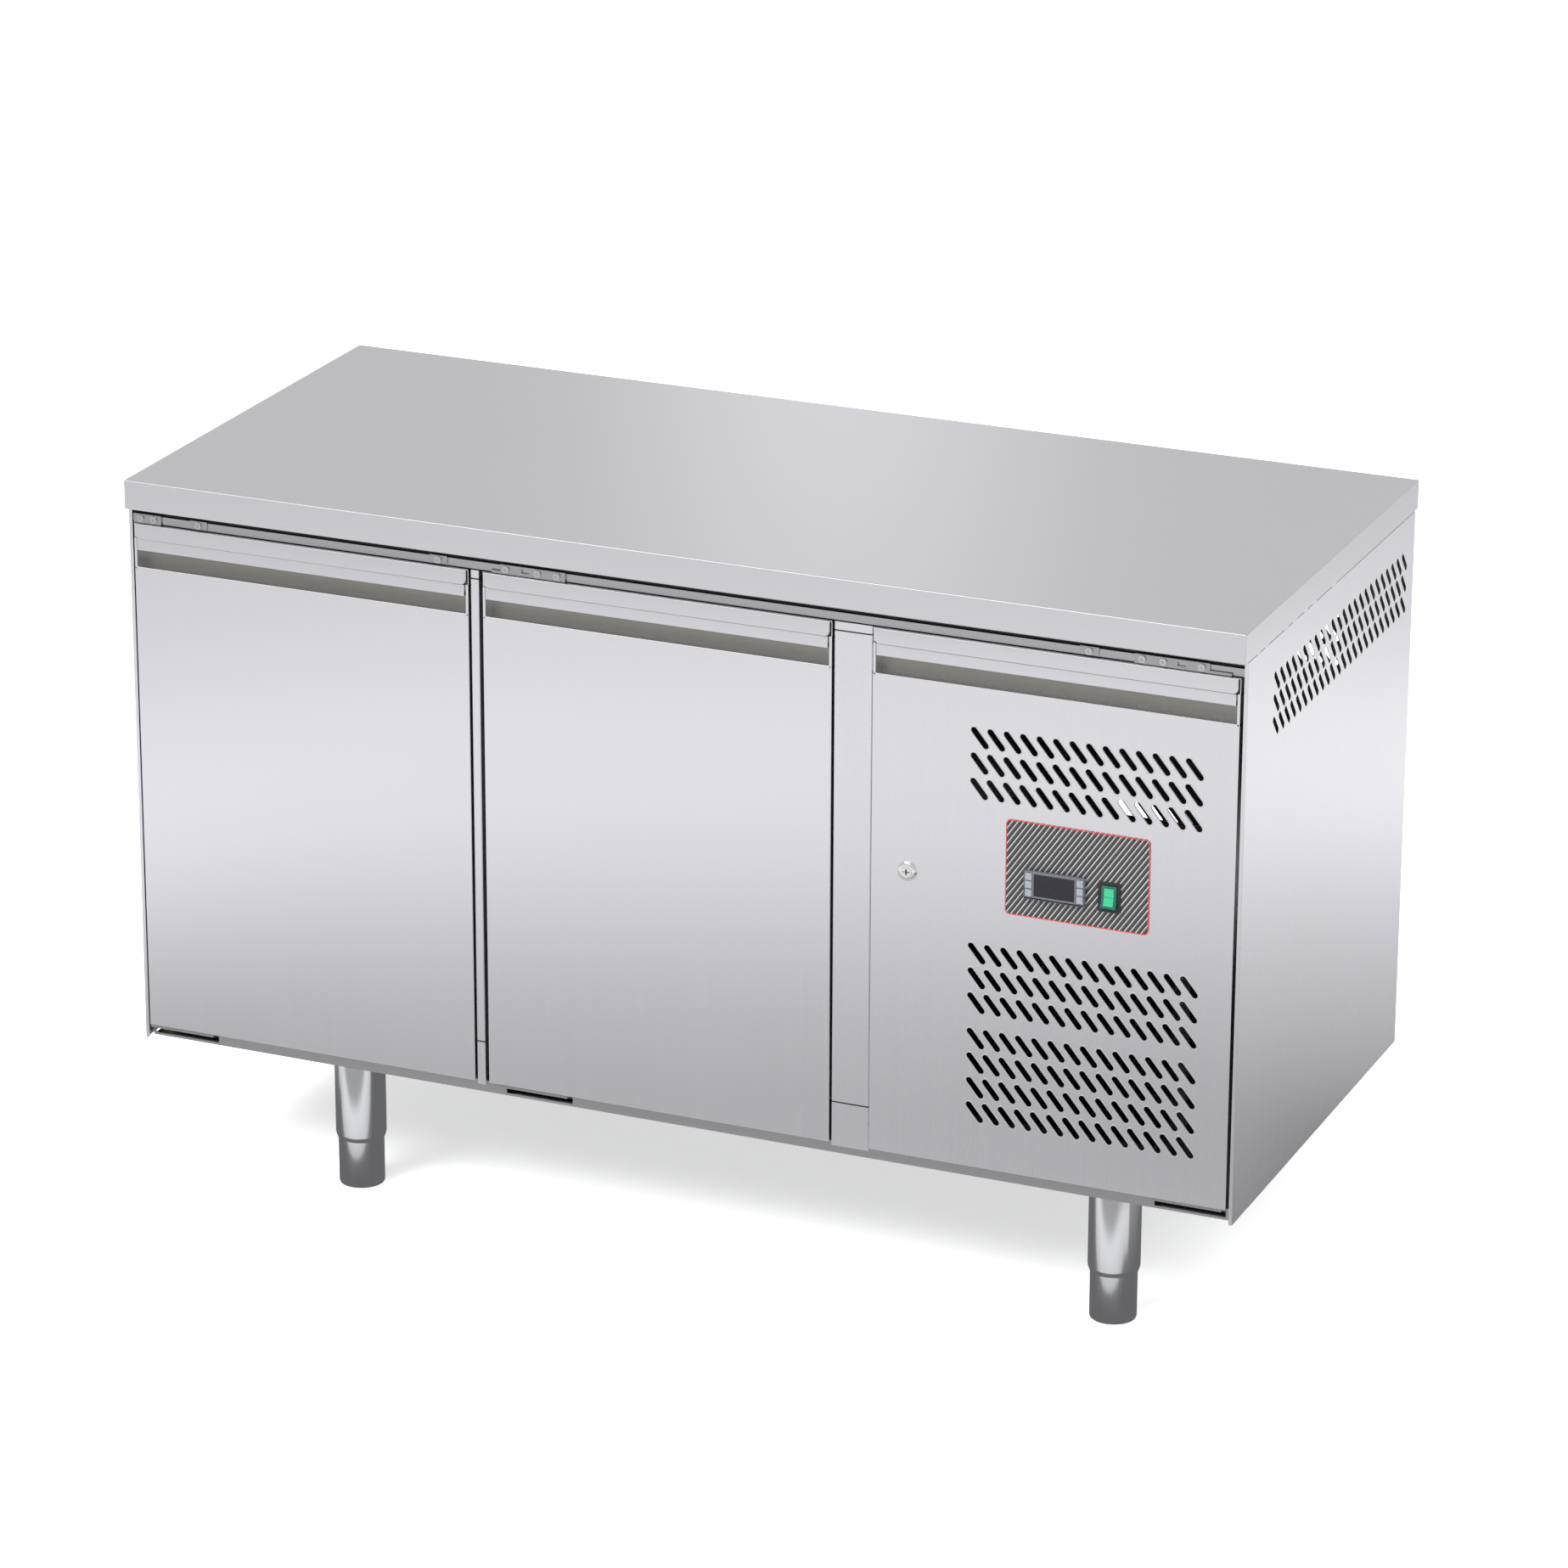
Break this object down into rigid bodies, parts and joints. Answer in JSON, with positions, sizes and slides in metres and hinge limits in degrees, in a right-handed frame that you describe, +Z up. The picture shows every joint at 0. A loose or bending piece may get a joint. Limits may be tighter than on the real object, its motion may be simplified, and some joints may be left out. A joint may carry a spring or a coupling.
{
  "type": "under counter fridge",
  "caption": "Stainless refrigerated worktop counter with hinged insulated doors, a vented lockable machine panel with controls, and levelling feet.",
  "frame": {"origin": "on the floor, under the centre of the worktop", "axes": "+X to the right seen from the front, +Y towards the back, +Z up"},
  "size_m": [1.36, 0.6, 0.85],
  "materials": {
    "stainless_top": "satin brushed stainless, grain along the worktop",
    "stainless_body": "satin brushed stainless",
    "stainless_door": "satin brushed stainless, vertical grain",
    "stainless_liner": "smooth stainless liner",
    "galvanised": "galvanised sheet",
    "board": "moisture-resistant board",
    "foam": "rigid foamed insulation",
    "bracket_steel": "bright zinc plated steel",
    "leg_steel": "bright turned stainless",
    "coated_wire": "plastic coated wire",
    "fins": "bare aluminium fins",
    "dark_fins": "painted aluminium fins",
    "compressor_paint": "black paint over the pressed shell",
    "copper": "bare copper pipe",
    "black_plastic": "black moulded plastic",
    "seal_rubber": "grey magnetic seal",
    "nylon": "natural nylon",
    "control_label": "striped overlay with a thin red border",
    "rocker_green": "clear green plastic, lit from inside",
    "key_grey": "grey plastic keys",
    "lock_chrome": "bright chrome"
  },
  "bodies": {
    "root": {"worktop_skin": "stainless_top", "worktop_core": "board", "left_side_panel": "stainless_body", "right_side_panel": "stainless_body", "back_panel": "galvanised", "rear_grille": "galvanised", "base_panel": "galvanised", "cabinet_foam": "foam", "inner_liner": "stainless_liner", "top_rail": "stainless_body", "bottom_rail": "stainless_body", "door_mullion": "stainless_body", "machine_stile": "stainless_body", "front_brackets": "bracket_steel", "hinge_pins": "bracket_steel", "front_screws": "bracket_steel", "leg_tubes": "leg_steel", "shelf_runners": "stainless_liner", "wire_shelves": "coated_wire", "evaporator_cover": "stainless_liner", "evaporator_coil": "fins", "fan_motors": "galvanised", "condenser_coil": "dark_fins", "compressor": "compressor_paint", "refrigerant_pipes": "copper", "drip_tray": "stainless_liner", "cable_gland": "black_plastic"},
    "evaporator_fan": {"evaporator_fan": "black_plastic"},
    "condenser_fan": {"condenser_fan": "black_plastic"},
    "door_left": {"door_left_skin": "stainless_door", "door_left_handle": "stainless_door", "door_left_foam": "foam", "door_left_liner": "stainless_liner", "door_left_gasket": "seal_rubber", "door_left_bushes": "nylon"},
    "door_right": {"door_right_skin": "stainless_door", "door_right_handle": "stainless_door", "door_right_foam": "foam", "door_right_liner": "stainless_liner", "door_right_gasket": "seal_rubber", "door_right_bushes": "nylon"},
    "machine_door": {"machine_panel": "stainless_body", "panel_handle": "stainless_body", "panel_bushes": "nylon", "control_plate": "control_label", "thermostat_case": "black_plastic", "switch_housing": "black_plastic", "lock_barrel": "lock_chrome"},
    "lock": {"lock_cylinder": "lock_chrome"},
    "rocker": {"switch_rocker": "rocker_green"},
    "key_1": {"thermostat_key_1": "key_grey"},
    "key_2": {"thermostat_key_2": "key_grey"},
    "key_3": {"thermostat_key_3": "key_grey"},
    "key_4": {"thermostat_key_4": "key_grey"},
    "key_5": {"thermostat_key_5": "key_grey"},
    "key_6": {"thermostat_key_6": "key_grey"},
    "foot_1": {"leg_insert_1": "leg_steel"},
    "foot_2": {"leg_insert_2": "leg_steel"},
    "foot_3": {"leg_insert_3": "leg_steel"},
    "foot_4": {"leg_insert_4": "leg_steel"}
  },
  "joints": [
    {"name": "door_left_hinge", "type": "hinge", "parent": "root", "child": "door_left", "pos_m": [-0.653, -0.283, 0.486], "axis": [0, 0, -1], "range_deg": [0, 105]},
    {"name": "door_right_hinge", "type": "hinge", "parent": "root", "child": "door_right", "pos_m": [-0.209, -0.283, 0.486], "axis": [0, 0, -1], "range_deg": [0, 105]},
    {"name": "machine_door_hinge", "type": "hinge", "parent": "root", "child": "machine_door", "pos_m": [0.6525, -0.283, 0.486], "axis": [0, 0, 1], "range_deg": [0, 105]},
    {"name": "lock_turn", "type": "hinge", "parent": "machine_door", "child": "lock", "pos_m": [0.2895, -0.283, 0.517], "axis": [0, -1, 0], "range_deg": [0, 90]},
    {"name": "switch_rock", "type": "hinge", "parent": "machine_door", "child": "rocker", "pos_m": [0.52875, -0.2918, 0.5235], "axis": [1, 0, 0], "range_deg": [0, 16]},
    {"name": "key_1_press", "type": "slide", "parent": "machine_door", "child": "key_1", "axis": [0, 1, 0], "range_m": [0, 0.0006], "stiffness_N_per_m": 400},
    {"name": "key_2_press", "type": "slide", "parent": "machine_door", "child": "key_2", "axis": [0, 1, 0], "range_m": [0, 0.0006], "stiffness_N_per_m": 400},
    {"name": "key_3_press", "type": "slide", "parent": "machine_door", "child": "key_3", "axis": [0, 1, 0], "range_m": [0, 0.0006], "stiffness_N_per_m": 400},
    {"name": "key_4_press", "type": "slide", "parent": "machine_door", "child": "key_4", "axis": [0, 1, 0], "range_m": [0, 0.0006], "stiffness_N_per_m": 400},
    {"name": "key_5_press", "type": "slide", "parent": "machine_door", "child": "key_5", "axis": [0, 1, 0], "range_m": [0, 0.0006], "stiffness_N_per_m": 400},
    {"name": "key_6_press", "type": "slide", "parent": "machine_door", "child": "key_6", "axis": [0, 1, 0], "range_m": [0, 0.0006], "stiffness_N_per_m": 400},
    {"name": "evaporator_fan_spin", "type": "hinge", "parent": "root", "child": "evaporator_fan", "pos_m": [-0.238, 0.174, 0.641], "axis": [0, -1, 0], "continuous": true},
    {"name": "condenser_fan_spin", "type": "hinge", "parent": "root", "child": "condenser_fan", "pos_m": [0.433, -0.13, 0.325], "axis": [0, -1, 0], "continuous": true},
    {"name": "foot_1_level", "type": "slide", "parent": "root", "child": "foot_1", "axis": [0, 0, -1], "range_m": [-0.025, 0.035]},
    {"name": "foot_2_level", "type": "slide", "parent": "root", "child": "foot_2", "axis": [0, 0, -1], "range_m": [-0.025, 0.035]},
    {"name": "foot_3_level", "type": "slide", "parent": "root", "child": "foot_3", "axis": [0, 0, -1], "range_m": [-0.025, 0.035]},
    {"name": "foot_4_level", "type": "slide", "parent": "root", "child": "foot_4", "axis": [0, 0, -1], "range_m": [-0.025, 0.035]}
  ]
}
